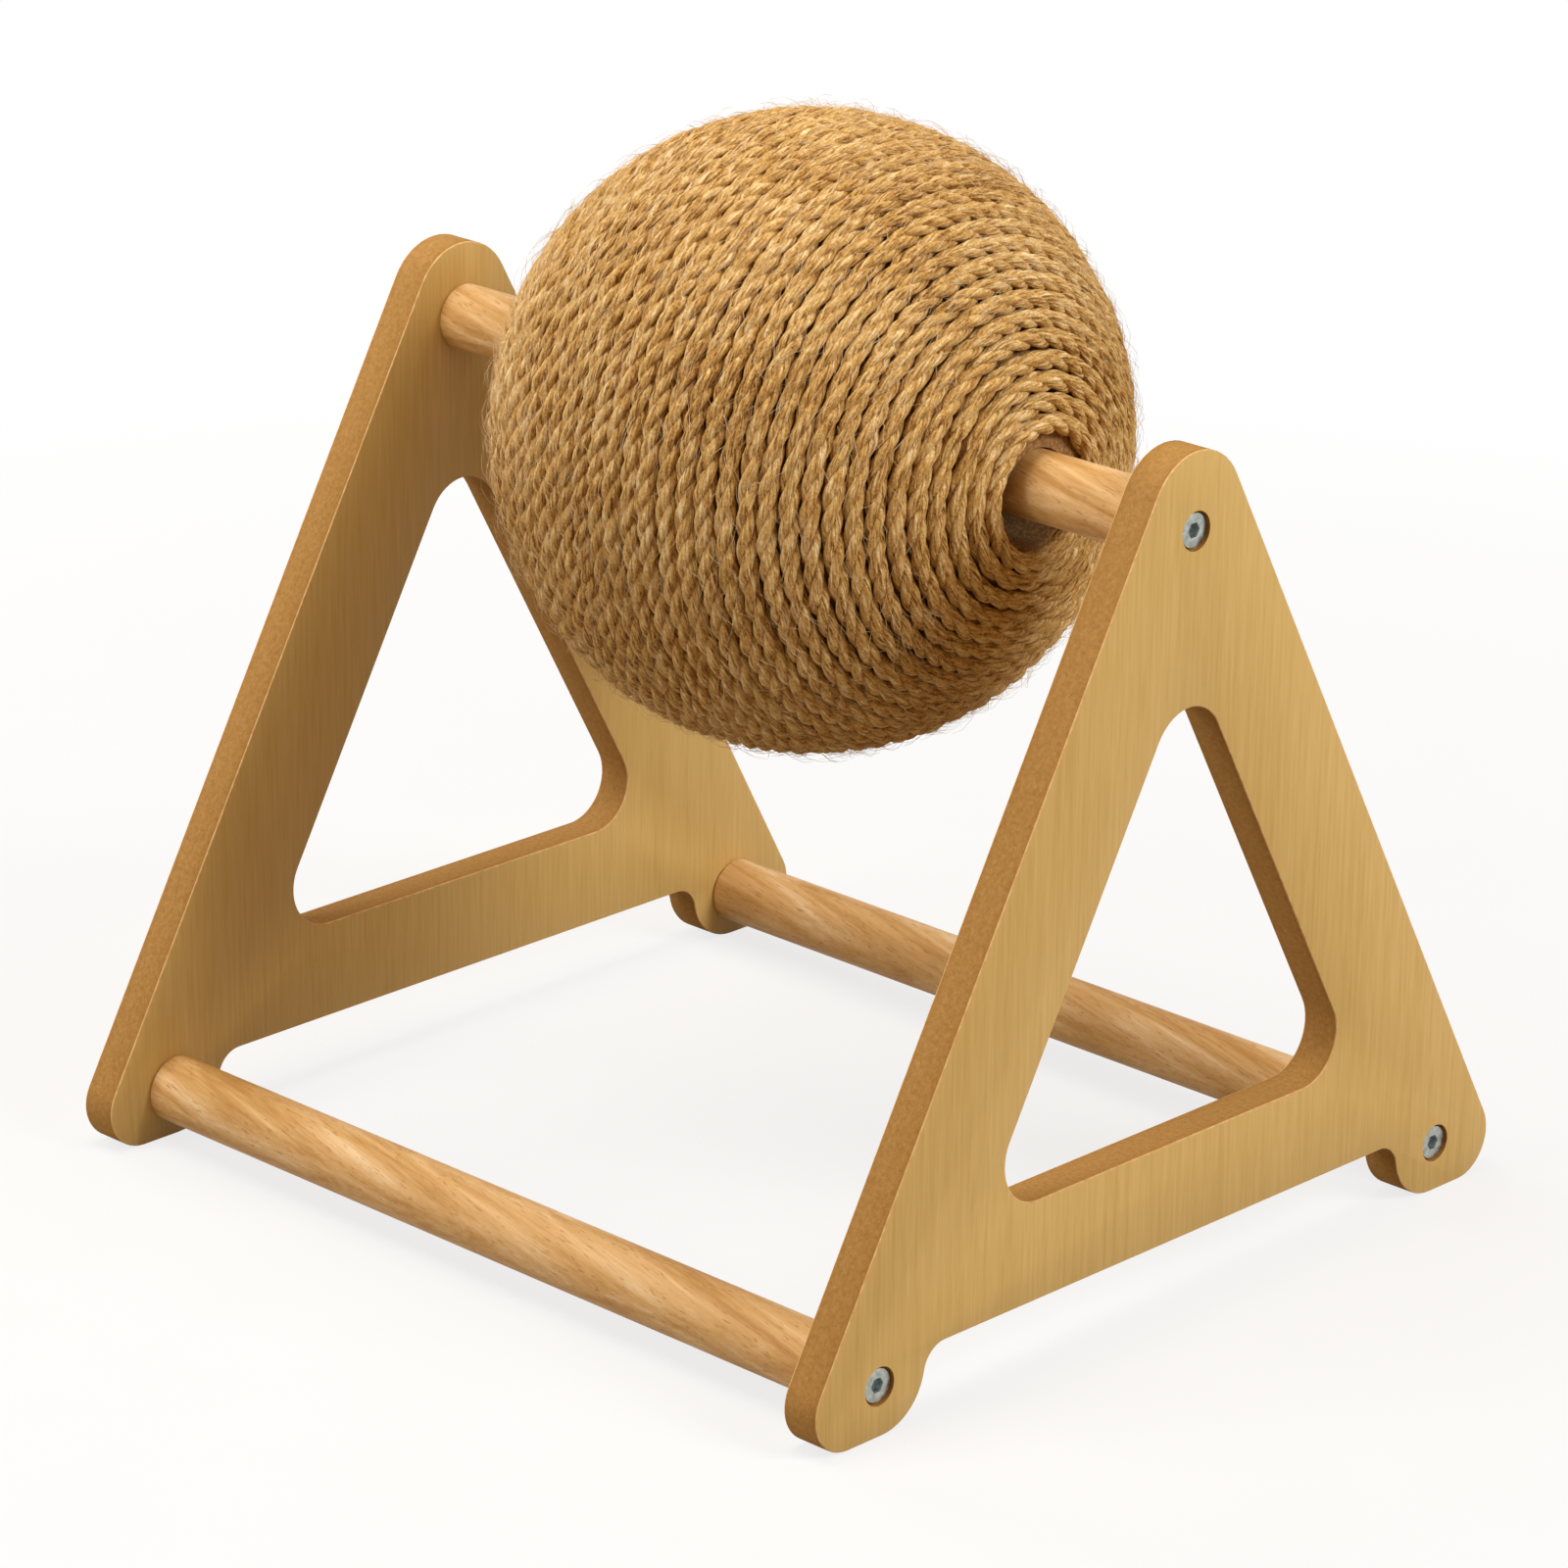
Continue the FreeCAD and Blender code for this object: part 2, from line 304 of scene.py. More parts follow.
def from_screw(point):
    """Distance of a point from the axis of the nearest screw."""
    return min(math.hypot(point.y - y, point.z - z) for y, z in SCREW_PLACES)


def round_the_face(edge):
    """True for an arris between a face and the cut edge of the board, not at a screw hole."""
    across = sorted(abs(face.normal.x) for face in edge.link_faces)
    middle = (edge.verts[0].co + edge.verts[1].co) / 2
    on_an_arris = across[0] < ON_THE_EDGE and across[1] > ON_A_FACE
    return on_an_arris and from_screw(middle) > SCREW_HOLE_REACH


for side in ("left", "right"):
    board = softened_copy(f"{side}_board", f"{side}_end_panel", ARRIS, round_the_face)
    for finish in (panel_foil, board_edge, arris_highlight):
        board.data.materials.append(finish)
    for face in board.data.polygons:
        across = abs(face.normal.x)
        from_middle = abs(abs(face.center.x) - BOARD_MIDDLE)
        if across > ON_A_FACE and abs(from_middle - BOARD_HALF) < FACE_REACH:
            face.material_index = FACE_SLOT
        # Faces on an arris take the paler colour of the painted highlight.
        elif OFF_THE_EDGE < across < ON_A_FACE and from_middle > ARRIS_FROM:
            face.material_index = ARRIS_SLOT
        else:
            face.material_index = EDGE_SLOT
    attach(board, "stand")
    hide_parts(f"{side}_end_panel")
    print(board.name, "faces:", len(board.data.polygons))

# %% [markdown]
# The axle and the two rails are turned hardwood, sanded and left without varnish. The eye sees fine
# pores along the dowel, paler and darker growth bands under them, and short dark flecks, which are
# the rays of the wood. A pattern wrapped round the dowel would show a seam. A dowel is a stick cut
# out of solid wood, so its pattern is solid noise, stretched along X and a little slanted, and the
# turned surface cuts through it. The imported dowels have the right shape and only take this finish.

# %% Finish: turned hardwood
GRAIN_SLANT = [0.0, math.radians(-7), math.radians(9)]
dowel_wood, tree, shader = new_finish("turned_hardwood")
place = add_node(tree, "ShaderNodeTexCoord").outputs["Object"]
slant = add_node(tree, "ShaderNodeMapping", {"Vector": place, "Rotation": GRAIN_SLANT})
band_place = add_node(
    tree, "ShaderNodeMapping", {"Vector": slant.outputs[0], "Scale": per_size(90, 6, 6)})
pore_place = add_node(
    tree, "ShaderNodeMapping", {"Vector": slant.outputs[0], "Scale": per_size(16, 0.7, 0.7)})
ray_place = add_node(
    tree, "ShaderNodeMapping", {"Vector": slant.outputs[0], "Scale": per_size(4.5, 0.6, 0.6)})
bands = add_node(
    tree, "ShaderNodeTexNoise",
    {"Vector": band_place.outputs[0], "Scale": 1.0, "Detail": 3.0, "Distortion": 0.8})
pores = add_node(
    tree, "ShaderNodeTexNoise",
    {"Vector": pore_place.outputs[0], "Scale": 1.0, "Detail": 4.0, "Roughness": 0.65})
rays = add_node(
    tree, "ShaderNodeTexNoise", {"Vector": ray_place.outputs[0], "Scale": 1.0, "Detail": 1.0})
grain = add_node(
    tree, "ShaderNodeMix", {0: 0.3, 2: bands.outputs["Fac"], 3: pores.outputs["Fac"]})
wood = add_node(tree, "ShaderNodeValToRGB", {"Fac": grain.outputs[0]})
set_stops(wood, [(0.36, "#b98a4c"), (0.48, "#cfa468"), (0.56, "#d9b17a"), (0.67, "#e8cb9e")])
ray_share = add_node(
    tree, "ShaderNodeMapRange",
    {"Value": rays.outputs["Fac"], "From Min": 0.62, "From Max": 0.72, "To Max": 0.55})
rayed = add_node(
    tree, "ShaderNodeMix",
    {0: ray_share.outputs[0], 6: wood.outputs["Color"], 7: linear("#a26f38")},
    data_type="RGBA")
relief = add_node(
    tree, "ShaderNodeBump",
    {"Height": pores.outputs["Fac"], "Strength": 0.3, "Distance": 0.15 * MM})
set_inputs(tree, shader, {
    "Base Color": rayed.outputs[2], "Normal": relief.outputs["Normal"],
    "Roughness": 0.55, "IOR": 1.5, "Specular IOR Level": 0.25})
for dowel in ("axle_dowel", "front_rail", "rear_rail"):
    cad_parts[dowel].material_slots[0].material = dowel_wood
print("finish:", dowel_wood.name)

# %% [markdown]
# The screws are steel with a bright zinc plating, which the eye sees as a pale, slightly cloudy
# grey. In the sockets the grey is a little darker, a painted shade for the recess, and the gloss is
# duller. One even grey metal would look like plastic at this size, so noise clouds the colour, and
# on the heads the gloss as well.

# %% Finish: bright zinc plating
zinc, tree, shader = new_finish("zinc_plated_steel")
place = add_node(tree, "ShaderNodeTexCoord").outputs["Object"]
cloud = add_node(
    tree, "ShaderNodeTexNoise", {"Vector": place, "Scale": 1 / (1.8 * MM), "Detail": 3.0})
plating = add_node(tree, "ShaderNodeValToRGB", {"Fac": cloud.outputs["Fac"]})
set_stops(plating, [(0.3, "#8f938c"), (0.7, "#b9bcb4")])
gloss = add_node(
    tree, "ShaderNodeMapRange",
    {"Value": cloud.outputs["Fac"], "From Min": 0.3, "From Max": 0.7,
     "To Min": 0.3, "To Max": 0.45})
set_inputs(tree, shader, {
    "Base Color": plating.outputs["Color"], "Roughness": gloss.outputs[0], "Metallic": 1.0})
print("finish:", zinc.name)

# %% Finish: zinc in the sockets, with painted shade
socket_shaded_zinc, tree, shader = new_finish("zinc_socket_painted_shade")
place = add_node(tree, "ShaderNodeTexCoord").outputs["Object"]
socket_mottle = add_node(
    tree, "ShaderNodeTexNoise", {"Vector": place, "Scale": 1 / (0.8 * MM), "Detail": 2.0})
socket_grey = add_node(tree, "ShaderNodeValToRGB", {"Fac": socket_mottle.outputs["Fac"]})
# A little darker than the plating on the heads: painted shade in the socket.
set_stops(socket_grey, [(0.3, "#8d9696"), (0.7, "#b4bbb9")])
set_inputs(tree, shader, {
    "Base Color": socket_grey.outputs["Color"], "Metallic": 1.0, "Roughness": 0.45})
print("finish:", socket_shaded_zinc.name)

# %% [markdown]
# Six furniture screws hold the panels to the dowels. Their heads lie nearly flush in stepped holes,
# with a hexagon socket for the key. They could be spun and cut anew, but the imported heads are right
# and only too sharp. Plating rounds pressed edges a little, so the rim of the head and the mouth of
# the socket get a small bevel, which is what glints in the light.

# %% Screws
PLATED_EDGE = 0.22 * MM
HEAD_LEVEL = 149.1 * MM
SOCKET_REACH = 2.4 * MM
SOCKET_FLOOR, SOCKET_MOUTH = 145.5 * MM, 148.95 * MM


def on_the_head(edge):
    """True for an edge that can be seen from outside: the head's rim and the socket's mouth."""
    return min(abs(vert.co.x) for vert in edge.verts) > HEAD_LEVEL


screws = softened_copy("furniture_screws", "panel_screws", PLATED_EDGE, on_the_head)
for finish in (zinc, socket_shaded_zinc):
    screws.data.materials.append(finish)
for face in screws.data.polygons:
    deep = SOCKET_FLOOR < abs(face.center.x) < SOCKET_MOUTH
    # Faces deep in a socket take the zinc with painted shade.
    face.material_index = 1 if deep and from_screw(face.center) < SOCKET_REACH else 0
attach(screws, "stand")
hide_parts("panel_screws")
print(screws.name, "faces:", len(screws.data.polygons))

# %% [markdown]
# The core of the ball is moulded foam. It shows only in the slits between the turns of rope and in
# the mouths of the hole, where the eye sees dull brown cells. Modelled cells would cost many faces
# for so little, so a Voronoi pattern of the cells' real size gives both their colour and a slight
# relief.

# %% Finish: moulded foam
foam, tree, shader = new_finish("moulded_foam")
place = add_node(tree, "ShaderNodeTexCoord").outputs["Object"]
cells = add_node(tree, "ShaderNodeTexVoronoi", {"Vector": place, "Scale": 1 / (1.2 * MM)})
skin = add_node(tree, "ShaderNodeValToRGB", {"Fac": cells.outputs["Distance"]})
set_stops(skin, [(0.1, "#a67c49"), (0.7, "#7e5a30")])
relief = add_node(
    tree, "ShaderNodeBump",
    {"Height": cells.outputs["Distance"], "Strength": 0.5, "Distance": 0.3 * MM})
set_inputs(tree, shader, {
    "Base Color": skin.outputs["Color"], "Normal": relief.outputs["Normal"], "Roughness": 0.95})
print("finish:", foam.name)

# %% [markdown]
# The core is a ball with a hole through it for the axle. A sphere with a hole cut by a Boolean
# would have ragged faces at the rim. Here one vertex is spun into an arc from mouth to mouth, the
# hole's wall closes the outline, and a full spin about the axle's line makes the ball, so that the
# faces lie in even rings.

# %% Foam core
BALL_CENTRE = Vector((6.5 * MM, 0.0, 225.8 * MM))
FOAM_RADIUS = 86.5 * MM
BORE_RADIUS = 14.0 * MM
ARC_STEPS, BORE_CUTS, ROUND_STEPS = 40, 24, 96
SEAM_REACH = 0.01 * MM

mouth_angle = math.asin(BORE_RADIUS / FOAM_RADIUS)
half_bore = FOAM_RADIUS * math.cos(mouth_angle)
shape = bmesh.new()
left_mouth = shape.verts.new(BALL_CENTRE + Vector((-half_bore, 0.0, BORE_RADIUS)))
bmesh.ops.spin(
    shape, geom=[left_mouth], cent=BALL_CENTRE, axis=(0.0, 1.0, 0.0),
    angle=math.pi - 2 * mouth_angle, steps=ARC_STEPS)
ends = [vert for vert in shape.verts if len(vert.link_edges) == 1]
bmesh.ops.subdivide_edges(shape, edges=[shape.edges.new(ends)], cuts=BORE_CUTS)
bmesh.ops.spin(
    shape, geom=shape.verts[:] + shape.edges[:], cent=BALL_CENTRE, axis=(1.0, 0.0, 0.0),
    angle=2 * math.pi, steps=ROUND_STEPS, use_merge=True)
bmesh.ops.remove_doubles(shape, verts=shape.verts, dist=SEAM_REACH)
bmesh.ops.recalc_face_normals(shape, faces=shape.faces)
print("foam volume in litres:", round(shape.calc_volume(signed=True) * 1000, 3))
foam_ball = add_object("foam_ball", shaded_mesh("foam_ball", shape))
foam_ball.data.materials.append(foam)
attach(foam_ball, "ball")
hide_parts("foam_core")

# %% [markdown]
# The rope is wound round the core from one mouth of the hole to the other, 21 loops on each half,
# and glued. Its route is a spiral on a sphere. Straight runs between a few points would show as
# kinks, so it is drawn as a NURBS spline. A spline of order 4 runs a little inside its points, by a
# share that depends only on the angle between them, so the points stand that much further out. The
# strands then follow points that are read from the spline at even steps.

# %% Spline of the rope's route
LOOPS = 21
ROPE_SPHERE = 88.9 * MM
MOUTH_ROW = 17.2 * MM
JOIN_SWING = math.radians(325)
POINTS_PER_LOOP = 24
SPLINE_STEPS = 6

first_polar = math.asin(MOUTH_ROW / ROPE_SPHERE)
spline_reach = 6 / (4 + 2 * math.cos(2 * math.pi / POINTS_PER_LOOP))
route_curve = bpy.data.curves.new("rope_route", "CURVE")
route_curve.dimensions = "3D"
route_curve.resolution_u = SPLINE_STEPS
spline = route_curve.splines.new("NURBS")
spline.points.add(2 * LOOPS * POINTS_PER_LOOP)
for number, point in enumerate(spline.points):
    loop = number / POINTS_PER_LOOP
    polar = first_polar + (math.pi - 2 * first_polar) * loop / (2 * LOOPS)
    swing = JOIN_SWING + 2 * math.pi * (loop - LOOPS)
    off_axle = ROPE_SPHERE * math.sin(polar) * spline_reach
    around = Vector((0.0, off_axle * math.cos(swing), off_axle * math.sin(swing)))
    on_axle = Vector((-ROPE_SPHERE * math.cos(polar), 0.0, 0.0))
    point.co = (*(BALL_CENTRE + on_axle + around), 1.0)
spline.order_u = 4
spline.use_endpoint_u = True
print("points of the spline:", len(spline.points))

# %% Even points along the route
STEP = 2.0 * MM


def made_mesh(curve, name):
    """Mesh that Blender makes of a curve, which is then removed."""
    carrier = add_object(name, curve)
    depsgraph = bpy.context.evaluated_depsgraph_get()
    evaluated = carrier.evaluated_get(depsgraph)
    mesh = bpy.data.meshes.new_from_object(evaluated, depsgraph=depsgraph)
    mesh.name = name
    bpy.data.objects.remove(carrier)
    bpy.data.curves.remove(curve)
    return mesh


route_mesh = made_mesh(route_curve, "rope_route")
route = np.array([vert.co for vert in route_mesh.vertices])
bpy.data.meshes.remove(route_mesh)
reach = np.append(0.0, np.cumsum(np.linalg.norm(np.diff(route, axis=0), axis=1)))
even = np.linspace(0.0, reach[-1], round(reach[-1] / STEP) + 1)
route = np.column_stack([np.interp(even, reach, route[:, axis]) for axis in range(3)])
print("rope length in metres:", round(reach[-1], 2), "points:", len(route))

# %% [markdown]
# Jute is a dull, straw-brown bast fibre. It is spun into yarn without being dyed, so the eye sees
# pale and dark fibres side by side along it, and it hardly shines. Noise fixed in space would cut
# across the yarn. The streaks follow its twist, so they are drawn on the strand's own UV map: the
# way round becomes a circle, which closes without a seam, and the way along is stretched. A real
# fibre is thinner than a tenth of a millimetre and would be lost at this distance, so the streaks
# are drawn coarser than that. A nap of short specks breaks them up, and a slow change of shade
# along the rope comes from where the rope lies.

# %% Place on a yarn
jute, tree, shader = new_finish("spun_jute")
coordinates = add_node(tree, "ShaderNodeTexCoord").outputs
ways = add_node(tree, "ShaderNodeSeparateXYZ", {"Vector": coordinates["UV"]})
turn = add_node(
    tree, "ShaderNodeMath", {0: ways.outputs["Y"], 1: 2 * math.pi}, operation="MULTIPLY")
round_x = add_node(tree, "ShaderNodeMath", {0: turn.outputs[0]}, operation="COSINE")
round_y = add_node(tree, "ShaderNodeMath", {0: turn.outputs[0]}, operation="SINE")
yarn_place = add_node(
    tree, "ShaderNodeCombineXYZ",
    {"X": round_x.outputs[0], "Y": round_y.outputs[0], "Z": ways.outputs["X"]})
print("nodes that wrap the yarn:", len(tree.nodes))

# %% Finish: spun jute
STRAND_RADIUS = 1.57 * MM
LAID_STRETCH = 1.05
STRAND_LENGTH = reach[-1] / 2 * LAID_STRETCH
NAP_SIZE, PATCH_SIZE = 0.8 * MM, 34 * MM


def along_yarn(width_mm, length_mm):
    """Mapping scale of streaks with this width round the strand and this length along it."""
    return [STRAND_RADIUS / (width_mm * MM)] * 2 + [STRAND_LENGTH / (length_mm * MM)]


fibre_place = add_node(
    tree, "ShaderNodeMapping",
    {"Vector": yarn_place.outputs[0], "Scale": along_yarn(0.7, 4.5)})
bundle_place = add_node(
    tree, "ShaderNodeMapping",
    {"Vector": yarn_place.outputs[0], "Scale": along_yarn(1.6, 9)})
fibres = add_node(
    tree, "ShaderNodeTexNoise",
    {"Vector": fibre_place.outputs[0], "Scale": 1.0, "Detail": 3.0, "Roughness": 0.65})
bundles = add_node(
    tree, "ShaderNodeTexNoise",
    {"Vector": bundle_place.outputs[0], "Scale": 1.0, "Detail": 2.0})
slow = add_node(
    tree, "ShaderNodeTexNoise",
    {"Vector": coordinates["Object"], "Scale": 1 / PATCH_SIZE, "Detail": 2.0})
nap = add_node(
    tree, "ShaderNodeTexNoise",
    {"Vector": coordinates["Object"], "Scale": 1 / NAP_SIZE, "Detail": 2.0})
streaks = add_node(
    tree, "ShaderNodeMix", {0: 0.35, 2: fibres.outputs["Fac"], 3: bundles.outputs["Fac"]})
napped = add_node(
    tree, "ShaderNodeMix", {0: 0.2, 2: streaks.outputs[0], 3: nap.outputs["Fac"]})
shade = add_node(
    tree, "ShaderNodeMix", {0: 0.15, 2: napped.outputs[0], 3: slow.outputs["Fac"]})
straw = add_node(tree, "ShaderNodeValToRGB", {"Fac": shade.outputs[0]})
set_stops(straw, [(0.38, "#6b4119"), (0.46, "#bb8d4a"), (0.53, "#dab370"), (0.61, "#f5e0b2")])
relief = add_node(
    tree, "ShaderNodeBump",
    {"Height": napped.outputs[0], "Strength": 1.0, "Distance": 2.0 * MM})
set_inputs(tree, shader, {
    "Base Color": straw.outputs["Color"], "Normal": relief.outputs["Normal"],
    "Roughness": 0.8, "Specular IOR Level": 0.1,
    "Sheen Weight": 0.4, "Sheen Tint": linear("#ecc98c"), "Sheen Roughness": 0.5})
print("finish:", jute.name)

# %% [markdown]
# A yarn is not a smooth tube: its bundles of fibre swell a little, and no two alike. A round bevel
# would show no such swelling. Here a small lobed outline is drawn once, with a little seeded
# chance, which gives the same yarn on every run, and the next step sweeps it along each strand.

# %% Section of a yarn
SEED = 7
SECTION_POINTS = 16
LOBES, LOBE_HEIGHT, LOBE_SPREAD = 5, 0.07, 0.04
chance = np.random.default_rng(SEED)

section_curve = bpy.data.curves.new("strand_section", "CURVE")
section_curve.dimensions = "2D"
section_line = section_curve.splines.new("POLY")
section_line.points.add(SECTION_POINTS - 1)
for number, point in enumerate(section_line.points):
    turned = 2 * math.pi * number / SECTION_POINTS
    swell = 1 + LOBE_HEIGHT * math.cos(LOBES * turned) + LOBE_SPREAD * chance.normal()
    lobe = STRAND_RADIUS * swell
    point.co = (lobe * math.cos(turned), lobe * math.sin(turned), 0.0, 1.0)
section_line.use_cyclic_u = True
section = add_object("strand_section", section_curve)
print("section points:", len(section_line.points))

# %% [markdown]
# The rope is three yarns laid round each other. A bump on one thick tube could hint at the lay, but
# the outline and the shadows would stay smooth, so each yarn is a curve that circles the route once
# every 24 mm or so, a third of a turn behind the last. A machine never lays rope quite evenly, so
# the lay, the thickness and the row wander a little. The section also turns as it goes, against the
# lay, and so its lobes and the streaks run along the rope.

# %% Directions along the rope
def unit(vectors):
    """The same directions, each of length 1."""
    return vectors / np.linalg.norm(vectors, axis=1, keepdims=True)


count = len(route)
outward = unit(route - np.array(BALL_CENTRE))
along = unit(np.gradient(route, axis=0))
sideways = np.cross(along, outward)
print("directions at", count, "points")

# %% Lay and wander of the rope
LAY = 24.0 * MM
YARN_TWIST = 25.0 * MM
# How far a measure wanders, and over how many steps of the route.
ROW_WANDER, LAY_WANDER = (0.2 * MM, 14), (0.15, 24)
MOST_SPREADS = 2


def wander(spread, stretch):
    """Seeded values of about 0 with this spread, which change smoothly over a stretch of steps."""
    knots = chance.normal(size=count // stretch + 2)
    values = np.interp(np.arange(count) / stretch, np.arange(len(knots)), knots)
    return spread * values.clip(-MOST_SPREADS, MOST_SPREADS)


wandering = route + wander(*ROW_WANDER)[:, None] * sideways
phase = np.cumsum(2 * np.pi * STEP / (LAY * (1 + wander(*LAY_WANDER))))
twist = -2 * np.pi * even / YARN_TWIST
print("turns of the lay:", round(phase[-1] / (2 * np.pi)))

# %% Strands of the rope
STRANDS = {"a": 0.0, "b": 2 * np.pi / 3, "c": 4 * np.pi / 3}
STRAND_OFFSET = 1.42 * MM
OFFSET_WANDER, LONG_SWELL, SHORT_SWELL = (0.08, 8), (0.06, 9), (0.05, 3)

halves = {"left": slice(0, count // 2 + 1), "right": slice(count // 2, count)}
for strand, start in STRANDS.items():
    angle = (phase + start)[:, None]
    offset = STRAND_OFFSET * (1 + wander(*OFFSET_WANDER))[:, None]
    line = wandering + offset * (np.cos(angle) * outward + np.sin(angle) * sideways)
    thickness = 1 + wander(*LONG_SWELL) + wander(*SHORT_SWELL)
    for side, part in halves.items():
        curve = bpy.data.curves.new("strand", "CURVE")
        curve.dimensions = "3D"
        curve.twist_mode = "MINIMUM"
        curve.bevel_mode = "OBJECT"
        curve.bevel_object = section
        curve.use_fill_caps = True
        spline = curve.splines.new("POLY")
        spline.points.add(len(line[part]) - 1)
        spline.points.foreach_set("co", np.column_stack([line, np.ones(count)])[part].ravel())
        spline.points.foreach_set("radius", thickness[part])
        spline.points.foreach_set("tilt", twist[part])
        name = f"{side}_rope_strand_{strand}"
        piece = add_object(name, made_mesh(curve, name))
        piece.data.materials.append(jute)
        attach(piece, "ball")
        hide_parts(f"{side}_rope_winding")
        print(name, "faces:", len(piece.data.polygons))
bpy.data.objects.remove(section)

# %% [markdown]
# Spun jute sheds, and the loose fibres are the same straw, only paler, because light reaches them
# from all sides. A hair shader would let light through as a real fibre does, but it can't be baked
# into the exported model, so this is a plain dull surface whose tone changes from place to place.

# %% Finish: loose fibre
loose, tree, shader = new_finish("loose_jute_fibre")
place = add_node(tree, "ShaderNodeTexCoord").outputs["Object"]
tone = add_node(
    tree, "ShaderNodeTexNoise", {"Vector": place, "Scale": 1 / (5 * MM), "Detail": 1.0})
pale = add_node(tree, "ShaderNodeValToRGB", {"Fac": tone.outputs["Fac"]})
set_stops(pale, [(0.35, "#b98f58"), (0.65, "#ecd8b0")])
set_inputs(tree, shader, {"Base Color": pale.outputs["Color"], "Roughness": 0.7})
print("finish:", loose.name)

# %% [markdown]
# Short loose fibres stand off the rope all over the ball, and the eye sees them as a pale fuzz,
# most plainly along its outline. Blender's hair would look alike, but it is no mesh and would be
# lost in the exported model. Each fibre is a thin curve of four points that leaves the rope at a
# low angle and bends back, placed by seeded chance. A real one is thinner than it is drawn here and
# would not show. Near the two mouths there are none, because the axle and the panels are close.

# %% Loose fibres
FIBRES = 7500
FIBRE_POINTS = 4
FIBRE_RADIUS, TAPER = 0.07 * MM, 0.6
ROOT_HEIGHT = 2.5 * MM
SHORTEST_MM, LONGEST_MM = 4, 11
FLATTEST, STEEPEST, BEND_BACK = 0.03, 0.35, 2.2
# Spreads of where a fibre leaves the rope, of its way along the rope, and of its sideways curl.
LEAN, STRAY, CURL = 0.6, 0.35, 0.25
# Loops without fibres at each mouth, and how much longer they are than the first loop.
BARE_LOOPS, BARE_GROWTH = 6, 1.6

fuzz_curve = bpy.data.curves.new("rope_fuzz", "CURVE")
fuzz_curve.dimensions = "3D"
fuzz_curve.bevel_depth = FIBRE_RADIUS
fuzz_curve.bevel_resolution = 0
edge_room = round(BARE_LOOPS * 2 * math.pi * MOUTH_ROW * BARE_GROWTH / STEP)
for spot in chance.integers(edge_room, count - edge_room, FIBRES):
    lean = chance.normal(scale=LEAN)
    off = math.cos(lean) * outward[spot] + math.sin(lean) * sideways[spot]
    heading = along[spot] * chance.choice([-1, 1]) + chance.normal(scale=STRAY) * sideways[spot]
    heading = heading / np.linalg.norm(heading)
    rise = chance.uniform(FLATTEST, STEEPEST)
    length = chance.uniform(SHORTEST_MM, LONGEST_MM) * MM
    curl = chance.normal(scale=CURL) * np.cross(heading, outward[spot])
    root = wandering[spot] + ROOT_HEIGHT * off
    spline = fuzz_curve.splines.new("POLY")
    spline.points.add(FIBRE_POINTS - 1)
    for number, point in enumerate(spline.points):
        share = number / (FIBRE_POINTS - 1)
        lift = rise * math.sin(share * BEND_BACK)
        run = share * heading + lift * off + share * share * curl
        point.co = (*(root + length * run), 1.0)
        point.radius = 1.0 - TAPER * share
fuzz = add_object("rope_fuzz", made_mesh(fuzz_curve, "rope_fuzz"))
fuzz.data.materials.append(loose)
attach(fuzz, "ball")
print("loose fibres:", FIBRES, "faces:", len(fuzz.data.polygons))

# %% [markdown]
# The object stands on a plain painted floor, which fills the whole picture. A photographer lights
# such a floor until it is white, but here that much light would wash out the object too. So only
# the camera and mirror-like surfaces see the floor as white and partly glowing, most of all away
# from the object, so that it keeps the shadow. To all other light it is no paler than a dull table.

# %% Finish: painted floor
SHADOW_REACH, WHITE_FROM = 0.25, 0.8
GLOW_NEAR, GLOW_FAR = 0.78, 1.0


def seen_rays(tree):
    """Output that is 1 for rays of the camera, off mirrors and through glass, and 0 for others."""
    kinds = add_node(tree, "ShaderNodeLightPath").outputs
    mirrored = add_node(
        tree, "ShaderNodeMath",
        {0: kinds["Is Glossy Ray"], 1: kinds["Is Transmission Ray"]}, operation="MAXIMUM")
    either = add_node(
        tree, "ShaderNodeMath",
        {0: kinds["Is Camera Ray"], 1: mirrored.outputs[0]}, operation="MAXIMUM")
    return either.outputs[0]


floor_white, tree, shader = new_finish("painted_studio_floor")
place = add_node(tree, "ShaderNodeTexCoord").outputs["Object"]
roller = add_node(
    tree, "ShaderNodeTexNoise", {"Vector": place, "Scale": 1 / (60 * MM), "Detail": 3.0})
paint = add_node(tree, "ShaderNodeValToRGB", {"Fac": roller.outputs["Fac"]})
set_stops(paint, [(0.3, "#dad9d6"), (0.7, "#dedddb")])
seen = seen_rays(tree)
floor_colour = add_node(
    tree, "ShaderNodeMix", {0: seen, 6: linear("#90867a"), 7: paint.outputs["Color"]},
    data_type="RGBA")
set_inputs(tree, shader, {"Base Color": floor_colour.outputs[2], "Roughness": 0.9})
from_object = add_node(tree, "ShaderNodeVectorMath", {0: place}, operation="LENGTH")
whiteness = add_node(
    tree, "ShaderNodeMapRange",
    {"Value": from_object.outputs["Value"], "From Min": SHADOW_REACH, "From Max": WHITE_FROM,
     "To Min": GLOW_NEAR, "To Max": GLOW_FAR})
glow_share = add_node(
    tree, "ShaderNodeMath", {0: seen, 1: whiteness.outputs[0]}, operation="MULTIPLY")
glow = add_node(tree, "ShaderNodeEmission", {"Color": linear("#ffffff"), "Strength": 1.0})
surface = add_node(
    tree, "ShaderNodeMixShader",
    {0: glow_share.outputs[0], 1: shader.outputs["BSDF"], 2: glow.outputs[0]})
floor_end = next(node for node in tree.nodes if node.type == "OUTPUT_MATERIAL")
set_inputs(tree, floor_end, {"Surface": surface.outputs[0]})
print("finish:", floor_white.name)

